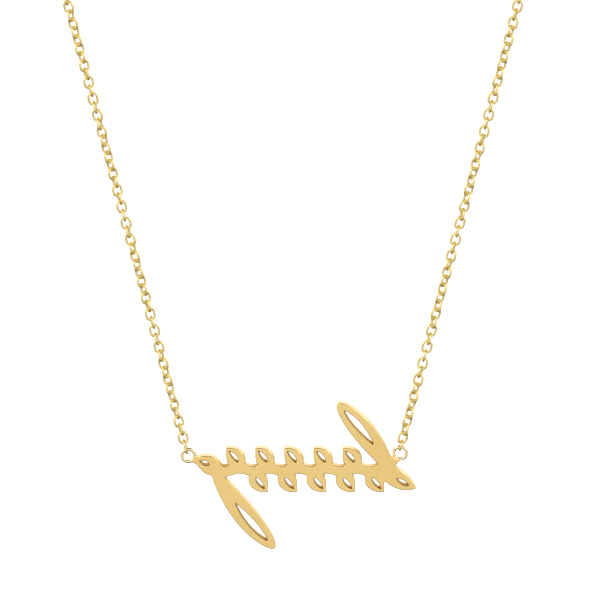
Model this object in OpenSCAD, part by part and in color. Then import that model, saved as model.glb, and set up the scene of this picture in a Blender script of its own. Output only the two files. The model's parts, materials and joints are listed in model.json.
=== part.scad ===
// Necklace of fine cable chain with a flat cut plate hung between its two strands.
// Millimetres. Seen from the front, X runs to the right, Y back to the nape and Z up.
// The origin is the nape of the neck, in the middle of the clasp's ring.

/* [Rings] */
// Distance between the centres of the two soldered rings
ring_span = 27.5; // [24:0.5:34]
// How much higher the right ring sits than the left one
ring_rise = 0.34; // [0:0.02:1]
// Outside diameter of a soldered ring
ring_od = 2.1; // [1.8:0.05:2.6]
// Wire of a soldered ring
ring_wire = 0.44; // [0.34:0.01:0.5]

/* [Plate] */
// Thickness of the plate
plate_t = 1.4; // [0.8:0.1:2]
// How far the sprig's stem hangs below the rings
stem_drop = 2.0; // [1.5:0.1:3]
// Distance of the stem's left end inside the left ring
left_inset = 3.35; // [2.6:0.05:4.5]
// Distance of the stem's right end inside the right ring
right_inset = 1.5; // [1.2:0.05:2.5]
// Width of the stem
stem_w = 1.4; // [0.8:0.1:1.8]
// Swing of the stem above and below its middle line
stem_swing = 0.22; // [0:0.02:0.5]
// Leaves on each side of the stem
leaf_pairs = 5; // [3:1:6]
// Reach of a stem leaf past the stem's middle line
leaf_l = 3.3; // [2.6:0.1:4.4]
// Width of a stem leaf
leaf_w = 2.45; // [2:0.05:3]
// Lean of the stem leaves from upright
leaf_lean = 33; // [20:1:45]
// Turn of a stem leaf's middle line from its foot to its tip
leaf_turn = 34; // [10:1:50]
// Length of the tall leaf at the right end
tall_leaf_l = 11.2; // [9:0.1:14]
// Length of the low leaf at the left end
low_leaf_l = 13.3; // [9:0.1:15]
// Width of the tall and the low leaf
long_leaf_w = 2.9; // [2.4:0.1:4]
// Lean of the tall and the low leaf from upright
long_leaf_lean = 36.5; // [25:0.5:45]
// Reach of the short leaf below the right ring
end_leaf_l = 4.4; // [3:0.1:6]
// Width of the slit in each short leaf
slit_w = 0.55; // [0.3:0.05:0.8]
// Width of the slit in the tall and the low leaf
long_slit_w = 0.95; // [0.5:0.05:1.3]
// Rounding of the inner corners
fillet_r = 0.18; // [0.05:0.01:0.3]

/* [Chain] */
// Distance from one link's centre to the next one's, cut a little so that a strand holds whole links
link_pitch = 1.16; // [0.9:0.01:1.6]
// Outside width of a link
link_w = 1.46; // [1.3:0.01:2]
// Wire of a link
link_wire = 0.33; // [0.2:0.01:0.34]
// Gap between neighbouring wires
wire_gap = 0.1; // [0.1:0.01:0.15]
// Turn of each link about the strand, past the quarter turn from the link before
link_twist = 6.5; // [0:0.1:12]
// Length of each strand, from the plate up, that is made link by link
front_l = 132; // [70:1:134]
// Diameter of the plain stretch that stands for the other links
back_d = 1.2; // [0.8:0.1:2]

/* [Loop] */
// Lean of the front strands from upright
strand_lean = 14.1; // [8:0.1:20]
// Length of the straight stretch of a strand
straight_l = 72; // [50:1:90]
// Height of the nape above the soldered rings
fall = 95; // [80:1:120]
// Distance of the plate in front of the nape
reach = 90; // [75:1:110]

/* [Clasp] */
// Outside diameter of the spring ring
clasp_od = 5.5; // [5:0.1:8]
// Thickness of the spring ring's tube
clasp_tube = 1.1; // [0.8:0.05:1.4]
// Wire of the clasp's eye
eye_wire = 0.45; // [0.35:0.01:0.6]
// Wire of the two jump rings
jump_wire = 0.4; // [0.3:0.01:0.5]
// Play of the jump ring's wire in the clasp's eye, past the gaps
eye_play = 0.25; // [0.1:0.05:0.6]
// Play of the clasp's tube in the end jump ring, past the gaps
tube_play = 0.6; // [0.3:0.05:1.2]
// Play of the eye's wire and a link in the clasp's jump ring, past the gaps
jump_play = 0.5; // [0.2:0.05:1]

/* [Hidden] */
$fn = 48;
left = -1;
right = 1;
plate_gold = "#e5c680";
chain_gold = "#dbc68c";
clasp_gold = "#d9b96a";

// Sprig: its stem runs between two knots, one inside each ring, where the end leaves grow
left_knot = [left_inset - ring_span / 2, -stem_drop];
right_knot = [ring_span / 2 - right_inset, -stem_drop];
stem_steps = 36;
leaf_step = (right_knot.x - left_knot.x) / (leaf_pairs + 1);
first_leaf = left_knot.x + 0.88 * leaf_step;

// Leaves: how far each runs back past the place where it grows, and its turn
stem_heel = 0.14 * leaf_w;
end_heel = 0.48 * leaf_w;
low_heel = 0.35 * long_leaf_w;
tall_heel = 0.59 * long_leaf_w;
long_turn = 16;
end_turn = 30;
end_lean = 125;

// Fullness of a leaf: where along it the belly lies, and how blunt its ends are
short_belly = 0.9;
stem_blunt = 0.85;
end_blunt = 0.75;
long_belly = 1.35;
long_blunt = 0.5;
slit_belly = 1.2;
slit_blunt = 0.7;

// Slits: shares of the leaf's length where they start and end
STEM_SLIT = [0.33, 0.84];
END_SLIT = [0.5, 0.82];
LONG_SLIT = [0.44, 0.9];

// Solder: how far the plate bites into a ring's wire, and the lug under each ring
bite = ring_wire / 2;
lug_w = 2 * ring_wire;
left_lug_way = left_knot - ring_place(left);
right_lug_way = right_knot - ring_place(right);

// Neck: pull of the strand's curve upwards at the front and sideways at the nape
front_pull = 0.38 * reach;
nape_pull = 0.68 * reach;
curve_steps = 160;
// Direction that stays well off both strands, inwards and up, and sets how their links stand
inwards = 0.6;
upwards = 0.8;

// Link: inner length, and the radius of its middle line at the ends
link_inner_l = max(link_pitch + wire_gap, link_w - 2 * link_wire);
link_bend_r = (link_w - link_wire) / 2;
link_straight = link_inner_l + 2 * link_wire - link_w;
back_ring_step = 2.5 * back_d;
back_sides = 8;

// Clasp and its rings, along X
ring_r = (ring_od - ring_wire) / 2;
clasp_r = (clasp_od - clasp_tube) / 2;
eye_r = (jump_wire + eye_wire + eye_play) / 2 + wire_gap;
eye_x = -(clasp_od / 2 + eye_r);
clasp_jump_r = (eye_wire + link_wire + jump_wire + jump_play) / 2 + wire_gap;
clasp_jump_x = eye_x - eye_r + (eye_wire + jump_wire) / 2 + wire_gap - clasp_jump_r;
end_jump_r = (clasp_tube + jump_wire + tube_play) / 2 + wire_gap;
end_jump_x = clasp_r - (clasp_tube + jump_wire) / 2 - wire_gap + end_jump_r;
lever_d = 0.55 * clasp_tube;
lever_l = 0.65 * clasp_tube;
lever_at = 60;

// Small helpers
function reversed(list) = [for (i = [len(list) - 1:-1:0]) list[i]];
function unit(v) = v / norm(v);

// Point on an arc of a given length and turn, at a share t of it, with its heading
function arc_at(length, turn, t) =
    let (r = length * 180 / (PI * turn), a = turn * (t - 0.5))
    [r * (sin(a) + sin(turn / 2)), r * (cos(turn / 2) - cos(a)), a];

// One side of a leaf between the shares t0 and t1 of its middle line
function leaf_side(length, width, turn, span, belly, blunt, side, steps) = [
    for (i = [0:steps])
        let (t = (1 - cos(180 * i / steps)) / 2,
             p = arc_at(length, turn, span[0] + (span[1] - span[0]) * t),
             h = side * width / 2 * pow(max(0, sin(180 * pow(t, belly))), blunt))
        [p.x - h * sin(p.z), p.y + h * cos(p.z)]
];

// Leaf, or with a span the slit in it, along X from its heel
module leaf(length, width, turn, span = [0, 1], belly = short_belly, blunt = stem_blunt, steps = 12)
    polygon(concat(
        leaf_side(length, width, turn, span, belly, blunt, left, steps),
        reversed(leaf_side(length, width, turn, span, belly, blunt, right, steps))));

// Height of the stem's middle line: it rises under each upper leaf and dips over each lower one
function stem_z(x) = -stem_drop + stem_swing * cos((x - first_leaf) * 360 / leaf_step);
function stem_edge(lift) = [
    for (i = [0:stem_steps])
        let (x = left_knot.x + (right_knot.x - left_knot.x) * i / stem_steps)
        [x, stem_z(x) + lift]
];

module from(place, heading, heel)
    translate(place) rotate(heading) translate([-heel, 0]) children();

module on_stem()
    for (i = [0:leaf_pairs - 1], lower = [0, 1]) {
        x = first_leaf + leaf_step * (i + lower / 2);
        from([x, stem_z(x)], 90 + leaf_lean - 180 * lower, stem_heel) children();
    }

// The left ring is soldered to the tip of a short leaf that grows towards it
left_leaf_l = norm(left_lug_way) - ring_od / 2 + bite;
left_leaf_heading = atan2(-left_lug_way.y, -left_lug_way.x);

module leaves() {
    on_stem() leaf(leaf_l + stem_heel, leaf_w, leaf_turn);
    from(left_knot, left_leaf_heading, end_heel)
        leaf(left_leaf_l + end_heel, leaf_w, end_turn, blunt = end_blunt);
    from(right_knot, 90 - end_lean, end_heel)
        leaf(end_leaf_l + end_heel, leaf_w, end_turn, blunt = end_blunt);
    from(right_knot, 90 + long_leaf_lean, tall_heel)
        leaf(tall_leaf_l + tall_heel, long_leaf_w, long_turn, [0, 1], long_belly, long_blunt, 20);
    from(left_knot, long_leaf_lean - 90, low_heel)
        leaf(low_leaf_l + low_heel, long_leaf_w, long_turn, [0, 1], long_belly, long_blunt, 20);
}

module slits() {
    on_stem() leaf(leaf_l + stem_heel, slit_w, leaf_turn, STEM_SLIT, steps = 8);
    from(left_knot, left_leaf_heading, end_heel)
        leaf(left_leaf_l + end_heel, slit_w, end_turn, END_SLIT, steps = 8);
    from(right_knot, 90 - end_lean, end_heel)
        leaf(end_leaf_l + end_heel, slit_w, end_turn, END_SLIT, steps = 8);
    from(right_knot, 90 + long_leaf_lean, tall_heel)
        leaf(tall_leaf_l + tall_heel, long_slit_w, long_turn, LONG_SLIT, slit_belly, slit_blunt);
    from(left_knot, long_leaf_lean - 90, low_heel)
        leaf(low_leaf_l + low_heel, long_slit_w, long_turn, LONG_SLIT, slit_belly, slit_blunt);
}

// Where the centre of a soldered ring lies, from the middle between the two
function ring_place(side) = [side * ring_span / 2, side * ring_rise / 2];

// Lug: a short bar from a knot to the ring's wire
module lug(side, way)
    translate(ring_place(side)) rotate(atan2(way.y, way.x))
        translate([ring_od / 2 - bite, -lug_w / 2]) square([norm(way) - ring_od / 2 + bite, lug_w]);

module sprig()
    difference() {
        offset(r = -fillet_r, $fn = 16) offset(delta = fillet_r)
            union() {
                polygon(concat(stem_edge(stem_w / 2), reversed(stem_edge(-stem_w / 2))));
                leaves();
                lug(left, left_lug_way);
                lug(right, right_lug_way);
            }
        slits();
        for (side = [left, right])
            translate(ring_place(side)) circle(r = ring_od / 2 - bite);
    }

// Torus round the Z axis
module wire_ring(r, wire)
    rotate_extrude() translate([r, 0]) circle(d = wire);

module plate_place()
    translate([0, -reach, -fall]) rotate([90, 0, 0]) children();

module nameplate()
    color(plate_gold) plate_place() {
        linear_extrude(plate_t, center = true) sprig();
        for (side = [left, right])
            translate(ring_place(side)) wire_ring(ring_r, ring_wire);
    }

// A strand runs from the wire of the soldered ring to the wire of the jump ring at the nape.
// Its first stretch is straight, and one smooth curve takes it round the neck.
function strand_way(side) = [side * sin(strand_lean), 0, cos(strand_lean)];
function strand_start(side) =
    [side * ring_span / 2, -reach, side * ring_rise / 2 - fall] + ring_r * strand_way(side);
function strand_end(side) =
    [side == left ? clasp_jump_x - clasp_jump_r : end_jump_x + end_jump_r, 0, 0];
function neck_curve(side) =
    let (shoulder = strand_start(side) + straight_l * strand_way(side))
    [shoulder, shoulder + front_pull * strand_way(side), strand_end(side) + [side * nape_pull, 0, 0],
     strand_end(side)];
function curve_at(c, t) =
    pow(1 - t, 3) * c[0] + 3 * t * pow(1 - t, 2) * c[1] + 3 * t * t * (1 - t) * c[2] + pow(t, 3) * c[3];
function curve_way(c, t) =
    unit(pow(1 - t, 2) * (c[1] - c[0]) + 2 * t * (1 - t) * (c[2] - c[1]) + t * t * (c[3] - c[2]));
// Pairs of the length run along the curve and the share t reached there
function curve_table(c) = [
    for (i = 0, run = 0;
         i <= curve_steps;
         run = run + norm(curve_at(c, (i + 1) / curve_steps) - curve_at(c, i / curve_steps)), i = i + 1)
        [run, i / curve_steps]
];

LEFT_CURVE = neck_curve(left);
RIGHT_CURVE = neck_curve(right);
LEFT_TABLE = curve_table(LEFT_CURVE);
RIGHT_TABLE = curve_table(RIGHT_CURVE);
function curve_of(side) = side == left ? LEFT_CURVE : RIGHT_CURVE;
function table_of(side) = side == left ? LEFT_TABLE : RIGHT_TABLE;
function strand_length(side) = straight_l + table_of(side)[curve_steps][0];

// Point, and direction of travel, at a length s along a strand
function strand_at(side, s) =
    s <= straight_l ? strand_start(side) + s * strand_way(side)
                    : curve_at(curve_of(side), lookup(s - straight_l, table_of(side)));
function strand_heading(side, s) =
    s <= straight_l ? strand_way(side) : curve_way(curve_of(side), lookup(s - straight_l, table_of(side)));
// Matrix that stands a piece on the strand: its Z along the strand, its Y inwards and up
function strand_frame(side, s) =
    let (p = strand_at(side, s),
         z = strand_heading(side, s),
         lift = [-side * inwards, 0, upwards],
         y = unit(lift - (lift * z) * z),
         x = cross(y, z))
    [[x.x, y.x, z.x, p.x], [x.y, y.y, z.y, p.y], [x.z, y.z, z.z, p.z], [0, 0, 0, 1]];

// Links: how far the first and last ones stand from the wires that they hold, and their true pitch.
// Their number is even, so the last one crosses its jump ring as the first one crosses its ring.
function held_off(wire) = (link_inner_l - wire) / 2 - wire_gap;
function links_run(side) = strand_length(side) - held_off(ring_wire) - held_off(jump_wire);
function link_steps(side) = 2 * ceil((links_run(side) / link_pitch - 1) / 2) + 1;
function true_pitch(side) = links_run(side) / link_steps(side);
function link_place(side, i) = held_off(ring_wire) + true_pitch(side) * i;
function front_links(side) = floor(front_l / true_pitch(side));

module link()
    for (end = [0, 1])
        rotate([0, 180 * end, 0]) {
            translate([0, 0, link_straight / 2]) rotate([90, 0, 0])
                rotate_extrude(angle = 180) translate([link_bend_r, 0]) circle(d = link_wire);
            if (link_straight > 0)
                translate([link_bend_r, 0, 0]) cylinder(h = link_straight, d = link_wire, center = true);
        }

module front_strand(side)
    color(chain_gold)
        for (i = [0:front_links(side) - 1])
            multmatrix(strand_frame(side, link_place(side, i)))
                rotate((90 + link_twist) * i) link();

// Plain stretch: one tube with a ring of corners every few diameters
function back_from(side) =
    link_place(side, front_links(side) - 1) + link_inner_l / 2 + link_wire + wire_gap;
function back_to(side) = strand_length(side) - jump_wire / 2 - wire_gap;
function back_rings(side) = ceil((back_to(side) - back_from(side)) / back_ring_step);
function back_corner(side, ring, k) =
    let (s = back_from(side) + (back_to(side) - back_from(side)) * ring / back_rings(side),
         m = strand_frame(side, s),
         a = 360 * k / back_sides,
         v = m * [back_d / 2 * cos(a), back_d / 2 * sin(a), 0, 1])
    [v.x, v.y, v.z];

module back_strand(side) {
    rings = back_rings(side);
    points = [for (ring = [0:rings], k = [0:back_sides - 1]) back_corner(side, ring, k)];
    walls = [
        for (ring = [0:rings - 1], k = [0:back_sides - 1])
            let (a = ring * back_sides + k, b = ring * back_sides + (k + 1) % back_sides)
            [a, a + back_sides, b + back_sides, b]
    ];
    first_end = [for (k = [0:back_sides - 1]) k];
    last_end = [for (k = [back_sides - 1:-1:0]) rings * back_sides + k];
    color(chain_gold) polyhedron(points, concat(walls, [first_end, last_end]));
}

module chain_left_front() { front_strand(left); }
module chain_right_front() { front_strand(right); }
module chain_left_back() { back_strand(left); }
module chain_right_back() { back_strand(right); }

// Spring ring: its tube, its eye and the stub of its lever, upright at the nape
module spring_ring_clasp()
    color(clasp_gold) rotate([90, 0, 0]) {
        wire_ring(clasp_r, clasp_tube);
        translate([eye_x, 0]) wire_ring(eye_r, eye_wire);
        rotate(lever_at) translate([(clasp_od - lever_d) / 2, 0]) rotate([0, 90, 0])
            cylinder(h = lever_l, d = lever_d);
    }

module clasp_jump_ring()
    color(clasp_gold) translate([clasp_jump_x, 0, 0]) wire_ring(clasp_jump_r, jump_wire);

module end_jump_ring()
    color(clasp_gold) translate([end_jump_x, 0, 0]) wire_ring(end_jump_r, jump_wire);

nameplate();
chain_left_front();
chain_right_front();
chain_left_back();
chain_right_back();
spring_ring_clasp();
clasp_jump_ring();
end_jump_ring();
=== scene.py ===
"""Looks of a necklace: a flat pierced plate on two small rings, hung between strands of fine cable chain.

Lengths are metres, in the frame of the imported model: X to the right, Y back to the nape and Z up.
Sizes that a maker would quote in millimetres are written as a number times MM.
"""

import json
import logging
import math
from dataclasses import dataclass, field
from enum import Enum

import bmesh
import bpy
import numpy as np
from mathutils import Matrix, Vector, geometry


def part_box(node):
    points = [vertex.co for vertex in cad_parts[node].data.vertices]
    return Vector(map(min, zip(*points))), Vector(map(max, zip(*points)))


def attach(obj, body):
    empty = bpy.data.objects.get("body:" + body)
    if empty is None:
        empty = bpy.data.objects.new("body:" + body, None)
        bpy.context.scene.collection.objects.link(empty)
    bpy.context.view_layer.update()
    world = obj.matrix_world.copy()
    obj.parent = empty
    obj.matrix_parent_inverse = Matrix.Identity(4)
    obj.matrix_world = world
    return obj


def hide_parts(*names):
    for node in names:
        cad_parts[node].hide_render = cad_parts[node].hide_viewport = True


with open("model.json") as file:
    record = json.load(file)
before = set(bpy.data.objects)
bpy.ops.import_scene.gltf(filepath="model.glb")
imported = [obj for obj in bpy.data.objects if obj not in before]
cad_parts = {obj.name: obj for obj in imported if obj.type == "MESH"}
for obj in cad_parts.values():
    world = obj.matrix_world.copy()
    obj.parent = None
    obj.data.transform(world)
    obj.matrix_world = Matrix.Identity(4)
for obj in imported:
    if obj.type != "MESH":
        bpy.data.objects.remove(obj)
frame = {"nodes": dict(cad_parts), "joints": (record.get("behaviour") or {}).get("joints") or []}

logger = logging.getLogger("necklace")

MM = 0.001
TURN = 2 * math.pi
ACROSS = np.array([1.0, 0.0, 0.0])
DEPTH = np.array([0.0, 1.0, 0.0])
UP = np.array([0.0, 0.0, 1.0])
SAME_POINT = 0.0005 * MM
# Masks of painted light and shade: a rim line and brighter link crossings, highlights on polished metal, and
# shade in recesses, which also marks a jump ring's dark seam.
PAINTED_LIGHT = "worn"
POLISH_AND_HIGHLIGHT = "polish"
SEAM_AND_RECESS_SHADE = "recess"
MASKS = (PAINTED_LIGHT, POLISH_AND_HIGHLIGHT, SEAM_AND_RECESS_SHADE)

Colour = tuple[float, float, float, float]


class Side(Enum):
    """The two strands, as the photograph shows them."""

    LEFT = -1
    RIGHT = 1


class Body(Enum):
    """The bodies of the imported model."""

    CHAIN = "chain"
    PLATE = "plate"


class Slot(Enum):
    """The record's material slots."""

    PLATE = "plate_gold"
    CHAIN = "chain_gold"
    CLASP = "clasp_gold"


class Socket(Enum):
    """Kinds of socket that the shared effects have."""

    COLOUR = "NodeSocketColor"
    NUMBER = "NodeSocketFloat"
    VECTOR = "NodeSocketVector"


def unit(vector: np.ndarray) -> np.ndarray:
    """Vectors along the last axis, brought to length one."""
    return vector / np.linalg.norm(vector, axis=-1, keepdims=True)


def ramp(value: np.ndarray, zero_at: float, one_at: float) -> np.ndarray:
    """A value brought to 0 where it is zero_at and to 1 where it is one_at, and held there beyond them."""
    return np.clip((value - zero_at) / (one_at - zero_at), 0, 1)


class Wiring:
    """Short calls for adding nodes to one tree and joining them."""

    def __init__(self, tree: bpy.types.NodeTree) -> None:
        """Works on a tree.

        Args:
            tree: The material's, world's or group's node tree.
        """
        self.tree = tree

    def feed(self, socket: bpy.types.NodeSocket, value: object) -> None:
        """Joins an input to another node, or sets it.

        Args:
            socket: The input.
            value: The other node's socket, or a plain value.
        """
        if isinstance(value, bpy.types.NodeSocket):
            self.tree.links.new(value, socket)
        else:
            socket.default_value = value

    def node(self, kind: str, inputs: dict | None = None, **settings: object) -> bpy.types.Node:
        """Adds a node.

        Args:
            kind: The node's type.
            inputs: Values or sockets for its inputs, by name or index.
            settings: Properties of the node.

        Returns:
            The new node.
        """
        made = self.tree.nodes.new(kind)
        for name, value in settings.items():
            setattr(made, name, value)
        for key, value in (inputs or {}).items():
            self.feed(made.inputs[key], value)
        return made

    def math(self, operation: str, *values: object) -> bpy.types.NodeSocket:
        """A sum, product or other operation on numbers.

        Args:
            operation: The Math node's operation.
            values: Numbers or sockets, in the node's order.

        Returns:
            The result's socket.
        """
        return self.node("ShaderNodeMath", dict(enumerate(values)), operation=operation).outputs[0]

    def stretch(self, position: object, scale: tuple[float, float, float]) -> bpy.types.NodeSocket:
        """A position whose three axes are scaled apart.

        Args:
            position: Socket of the position.
            scale: Factor of each axis.

        Returns:
            The scaled position's socket.
        """
        made = self.node("ShaderNodeVectorMath", {0: position, 1: scale}, operation="MULTIPLY")
        return made.outputs[0]

    def noise(self, position: object, scale: object, detail: float = 2.0,
              rough: float = 0.5) -> bpy.types.NodeSocket:
        """Soft noise between 0 and 1.

        Args:
            position: Socket of the position.
            scale: Waves per unit of the position.
            detail: Number of finer layers.
            rough: Weight of the finer layers.

        Returns:
            The noise value's socket.
        """
        inputs = {"Vector": position, "Scale": scale, "Detail": detail, "Roughness": rough}
        return self.node("ShaderNodeTexNoise", inputs).outputs["Fac"]

    def span(self, value: object, low: float, high: float, to_low: object = 0.0,
             to_high: object = 1.0) -> bpy.types.NodeSocket:
        """A value taken smoothly from one span to another.

        Args:
            value: Socket of the value.
            low: Where the old span starts.
            high: Where it ends.
            to_low: Where the new span starts.
            to_high: Where it ends.

        Returns:
            The new value's socket.
        """
        inputs = {"Value": value, "From Min": low, "From Max": high, "To Min": to_low, "To Max": to_high}
        return self.node("ShaderNodeMapRange", inputs, interpolation_type="SMOOTHSTEP").outputs[0]

    def mix(self, factor: object, first: object, second: object) -> bpy.types.NodeSocket:
        """A blend of two colours.

        Args:
            factor: Share of the second colour.
            first: Colour or socket.
            second: Colour or socket.

        Returns:
            The blended colour's socket.
        """
        made = self.node("ShaderNodeMix", data_type="RGBA")
        for key, kind, value in (("Factor", "VALUE", factor), ("A", "RGBA", first), ("B", "RGBA", second)):
            self.feed(next(s for s in made.inputs if s.name == key and s.type == kind), value)
        return next(s for s in made.outputs if s.type == "RGBA")


class Effect:
    """A shader node group that several finishes share."""

    def __init__(self, name: str, inputs: dict[str, Socket], outputs: dict[str, Socket]) -> None:
        """Makes the empty group with its sockets.

        Args:
            name: Name of the group.
            inputs: Its inputs and their kinds.
            outputs: Its outputs and their kinds.
        """
        self.tree = bpy.data.node_groups.new(name, "ShaderNodeTree")
        for label, kind in inputs.items():
            self.tree.interface.new_socket(label, in_out="INPUT", socket_type=kind.value)
        for label, kind in outputs.items():
            self.tree.interface.new_socket(label, in_out="OUTPUT", socket_type=kind.value)
        self.wiring = Wiring(self.tree)
        self.given = self.tree.nodes.new("NodeGroupInput").outputs
        self.result = self.tree.nodes.new("NodeGroupOutput").inputs

    def put_out(self, label: str, socket: bpy.types.NodeSocket) -> None:
        """Joins a socket to one of the group's outputs.

        Args:
            label: Name of the output.
            socket: What it puts out.
        """
        self.tree.links.new(socket, self.result[label])

    def place(self, wiring: Wiring, inputs: dict) -> bpy.types.Node:
        """Adds the group to a material.

        Args:
            wiring: Wiring of the material's tree.
            inputs: Values or sockets for the group's inputs.

        Returns:
            The group's node.
        """
        return wiring.node("ShaderNodeGroup", inputs, node_tree=self.tree)


def tone_drift_effect(finer: float = 7.3, broad_share: float = 0.75,
                      contrast: tuple[float, float] = (0.32, 0.68)) -> Effect:
    """Gold whose tone drifts in soft clouds between a light and a deep shade.

    Args:
        finer: How many small clouds lie along one broad one.
        broad_share: Weight of the broad clouds.
        contrast: Values of the noise where one tone ends and the other begins.

    Returns:
        The effect, which puts out the colour.
    """
    made = Effect("tone_drift",
                  {"Position": Socket.VECTOR, "Light Tone": Socket.COLOUR, "Deep Tone": Socket.COLOUR,
                   "Cloud Scale": Socket.NUMBER},
                  {"Colour": Socket.COLOUR})
    w, given = made.wiring, made.given
    broad = w.noise(given["Position"], given["Cloud Scale"], 3.0, 0.55)
    fine_scale = w.math("MULTIPLY", given["Cloud Scale"], finer)
    fine = w.noise(given["Position"], fine_scale, 2.0, 0.6)
    both = w.math("ADD", w.math("MULTIPLY", broad, broad_share), w.math("MULTIPLY", fine, 1 - broad_share))
    clouds = w.span(both, *contrast)
    made.put_out("Colour", w.mix(clouds, given["Light Tone"], given["Deep Tone"]))
    return made


def buffing_effect(line_share: float = 0.45, contrast: tuple[float, float] = (0.3, 0.7)) -> Effect:
    """Marks that a polishing wheel leaves: fine lines along the strokes, and patches of haze.

    Args:
        line_share: Weight of the lines in the roughness.
        contrast: Values of the noise that are smoothest and haziest.

    Returns:
        The effect, which puts out the roughness and the height of the marks.
    """
    made = Effect("buffing",
                  {"Stroke Position": Socket.VECTOR, "Position": Socket.VECTOR, "Line Scale": Socket.NUMBER,
                   "Haze Scale": Socket.NUMBER, "Smooth": Socket.NUMBER, "Hazy": Socket.NUMBER},
                  {"Roughness": Socket.NUMBER, "Height": Socket.NUMBER})
    w, given = made.wiring, made.given
    lines = w.noise(given["Stroke Position"], given["Line Scale"], 4.0, 0.7)
    haze = w.noise(given["Position"], given["Haze Scale"], 3.0, 0.6)
    marks = w.math("ADD", w.math("MULTIPLY", lines, line_share), w.math("MULTIPLY", haze, 1 - line_share))
    inputs = {"Value": marks, "From Min": contrast[0], "From Max": contrast[1],
              "To Min": given["Smooth"], "To Max": given["Hazy"]}
    made.put_out("Roughness", w.node("ShaderNodeMapRange", inputs).outputs[0])
    made.put_out("Height", lines)
    return made


def masked_tone_effect(raggedness: float = 0.5, border: tuple[float, float] = (0.2, 0.8),
                least: float = 0.01) -> Effect:
    """A second shade and roughness where a mask of the piece says so, with a ragged border.

    Args:
        raggedness: How far noise moves the border.
        border: Values of the mask between which the second shade comes in.
        least: Value of the mask below which there is none of it.

    Returns:
        The effect, which puts out the colour and the roughness.
    """
    made = Effect("masked_tone",
                  {"Position": Socket.VECTOR, "Mask": Socket.NUMBER, "Colour": Socket.COLOUR,
                   "Masked Colour": Socket.COLOUR, "Roughness": Socket.NUMBER, "Masked Roughness": Socket.NUMBER,
                   "Border Scale": Socket.NUMBER},
                  {"Colour": Socket.COLOUR, "Roughness": Socket.NUMBER})
    w, given = made.wiring, made.given
    ragged = w.noise(given["Position"], given["Border Scale"], 2.0, 0.5)
    moved = w.math("MULTIPLY", w.math("SUBTRACT", ragged, 0.5), raggedness)
    share = w.math("ADD", given["Mask"], moved)
    cut = w.math("MULTIPLY", w.span(share, *border), w.math("GREATER_THAN", given["Mask"], least))
    made.put_out("Colour", w.mix(cut, given["Colour"], given["Masked Colour"]))
    change = w.math("SUBTRACT", given["Masked Roughness"], given["Roughness"])
    made.put_out("Roughness", w.math("MULTIPLY_ADD", cut, change, given["Roughness"]))
    return made


@dataclass(frozen=True)
class Effects:
    """The shared effects, each built once."""

    tone_drift: Effect = field(default_factory=tone_drift_effect)
    buffing: Effect = field(default_factory=buffing_effect)
    masked_tone: Effect = field(default_factory=masked_tone_effect)


@dataclass(frozen=True)
class GoldFinish:
    """A finish of yellow gold.

    Its tone drifts between the light and the deep one, and its roughness between smooth and hazy. The masks
    of a piece bring in three more tones, each with its own roughness: a pale one that paints highlights on
    polished metal, a deep one of painted light and shade, and a dark one of painted shade in recesses, which
    at a jump ring's seam is its dark joint.
    """

    name: str
    light_tone: Colour
    deep_tone: Colour
    smooth: float
    hazy: float
    cloud_scale: float
    line_scale: float
    haze_scale: float
    strokes: tuple[float, float, float]
    mark_depth: float
    # Pale, near cream: painted highlights on the polished walls and rings.
    polished_highlight_tone: Colour = (0.95, 0.82, 0.54, 1)
    polished_roughness: float = 0.08
    # Deep brown gold: a painted dark reflection line along the plate's rounded edge, and patches of painted
    # dark reflection on its rings.
    painted_light_tone: Colour = (0.80, 0.52, 0.17, 1)
    painted_light_roughness: float = 0.14
    # Dark brown: painted shade in the plate's narrow piercings and tight corners and in the clasp's slot and
    # grooves, and the dark joint at a jump ring's seam.
    seam_and_recess_shade_tone: Colour = (0.5, 0.32, 0.11, 1)
    recess_roughness: float = 0.35
    limb_tint: Colour = (0.88, 0.76, 0.56, 1)
    border_scale: float = 4000.0

    def material(self, effects: Effects) -> bpy.types.Material:
        """Builds the finish.

        Args:
            effects: The shared effects.

        Returns:
            The new material.
        """
        made = bpy.data.materials.new(self.name)
        made.use_nodes = True
        made.node_tree.nodes.clear()
        w = Wiring(made.node_tree)
        position = w.node("ShaderNodeTexCoord").outputs["Object"]
        drift = effects.tone_drift.place(w, {
            "Position": position, "Light Tone": self.light_tone, "Deep Tone": self.deep_tone,
            "Cloud Scale": self.cloud_scale})
        buffed = effects.buffing.place(w, {
            "Stroke Position": w.stretch(position, self.strokes), "Position": position,
            "Line Scale": self.line_scale, "Haze Scale": self.haze_scale,
            "Smooth": self.smooth, "Hazy": self.hazy})
        colour, roughness = drift.outputs["Colour"], buffed.outputs["Roughness"]
        # Bring in the painted highlight, the painted light and shade, and the painted shade of recesses.
        for mask, tone, rough in ((POLISH_AND_HIGHLIGHT, self.polished_highlight_tone, self.polished_roughness),
                                  (PAINTED_LIGHT, self.painted_light_tone, self.painted_light_roughness),
                                  (SEAM_AND_RECESS_SHADE, self.seam_and_recess_shade_tone, self.recess_roughness)):
            share = w.node("ShaderNodeAttribute", attribute_name=mask).outputs["Fac"]
            placed = effects.masked_tone.place(w, {
                "Position": position, "Mask": share, "Colour": colour, "Masked Colour": tone,
                "Roughness": roughness, "Masked Roughness": rough, "Border Scale": self.border_scale})
            colour, roughness = placed.outputs["Colour"], placed.outputs["Roughness"]
        bump = w.node("ShaderNodeBump", {"Height": buffed.outputs["Height"], "Strength": 1.0,
                                         "Distance": self.mark_depth})
        shader = w.node("ShaderNodeBsdfPrincipled", {
            "Base Color": colour, "Roughness": roughness, "Normal": bump.outputs["Normal"],
            "Metallic": 1.0, "Specular Tint": self.limb_tint})
        w.node("ShaderNodeOutputMaterial", {"Surface": shader.outputs["BSDF"]})
        return made


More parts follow.
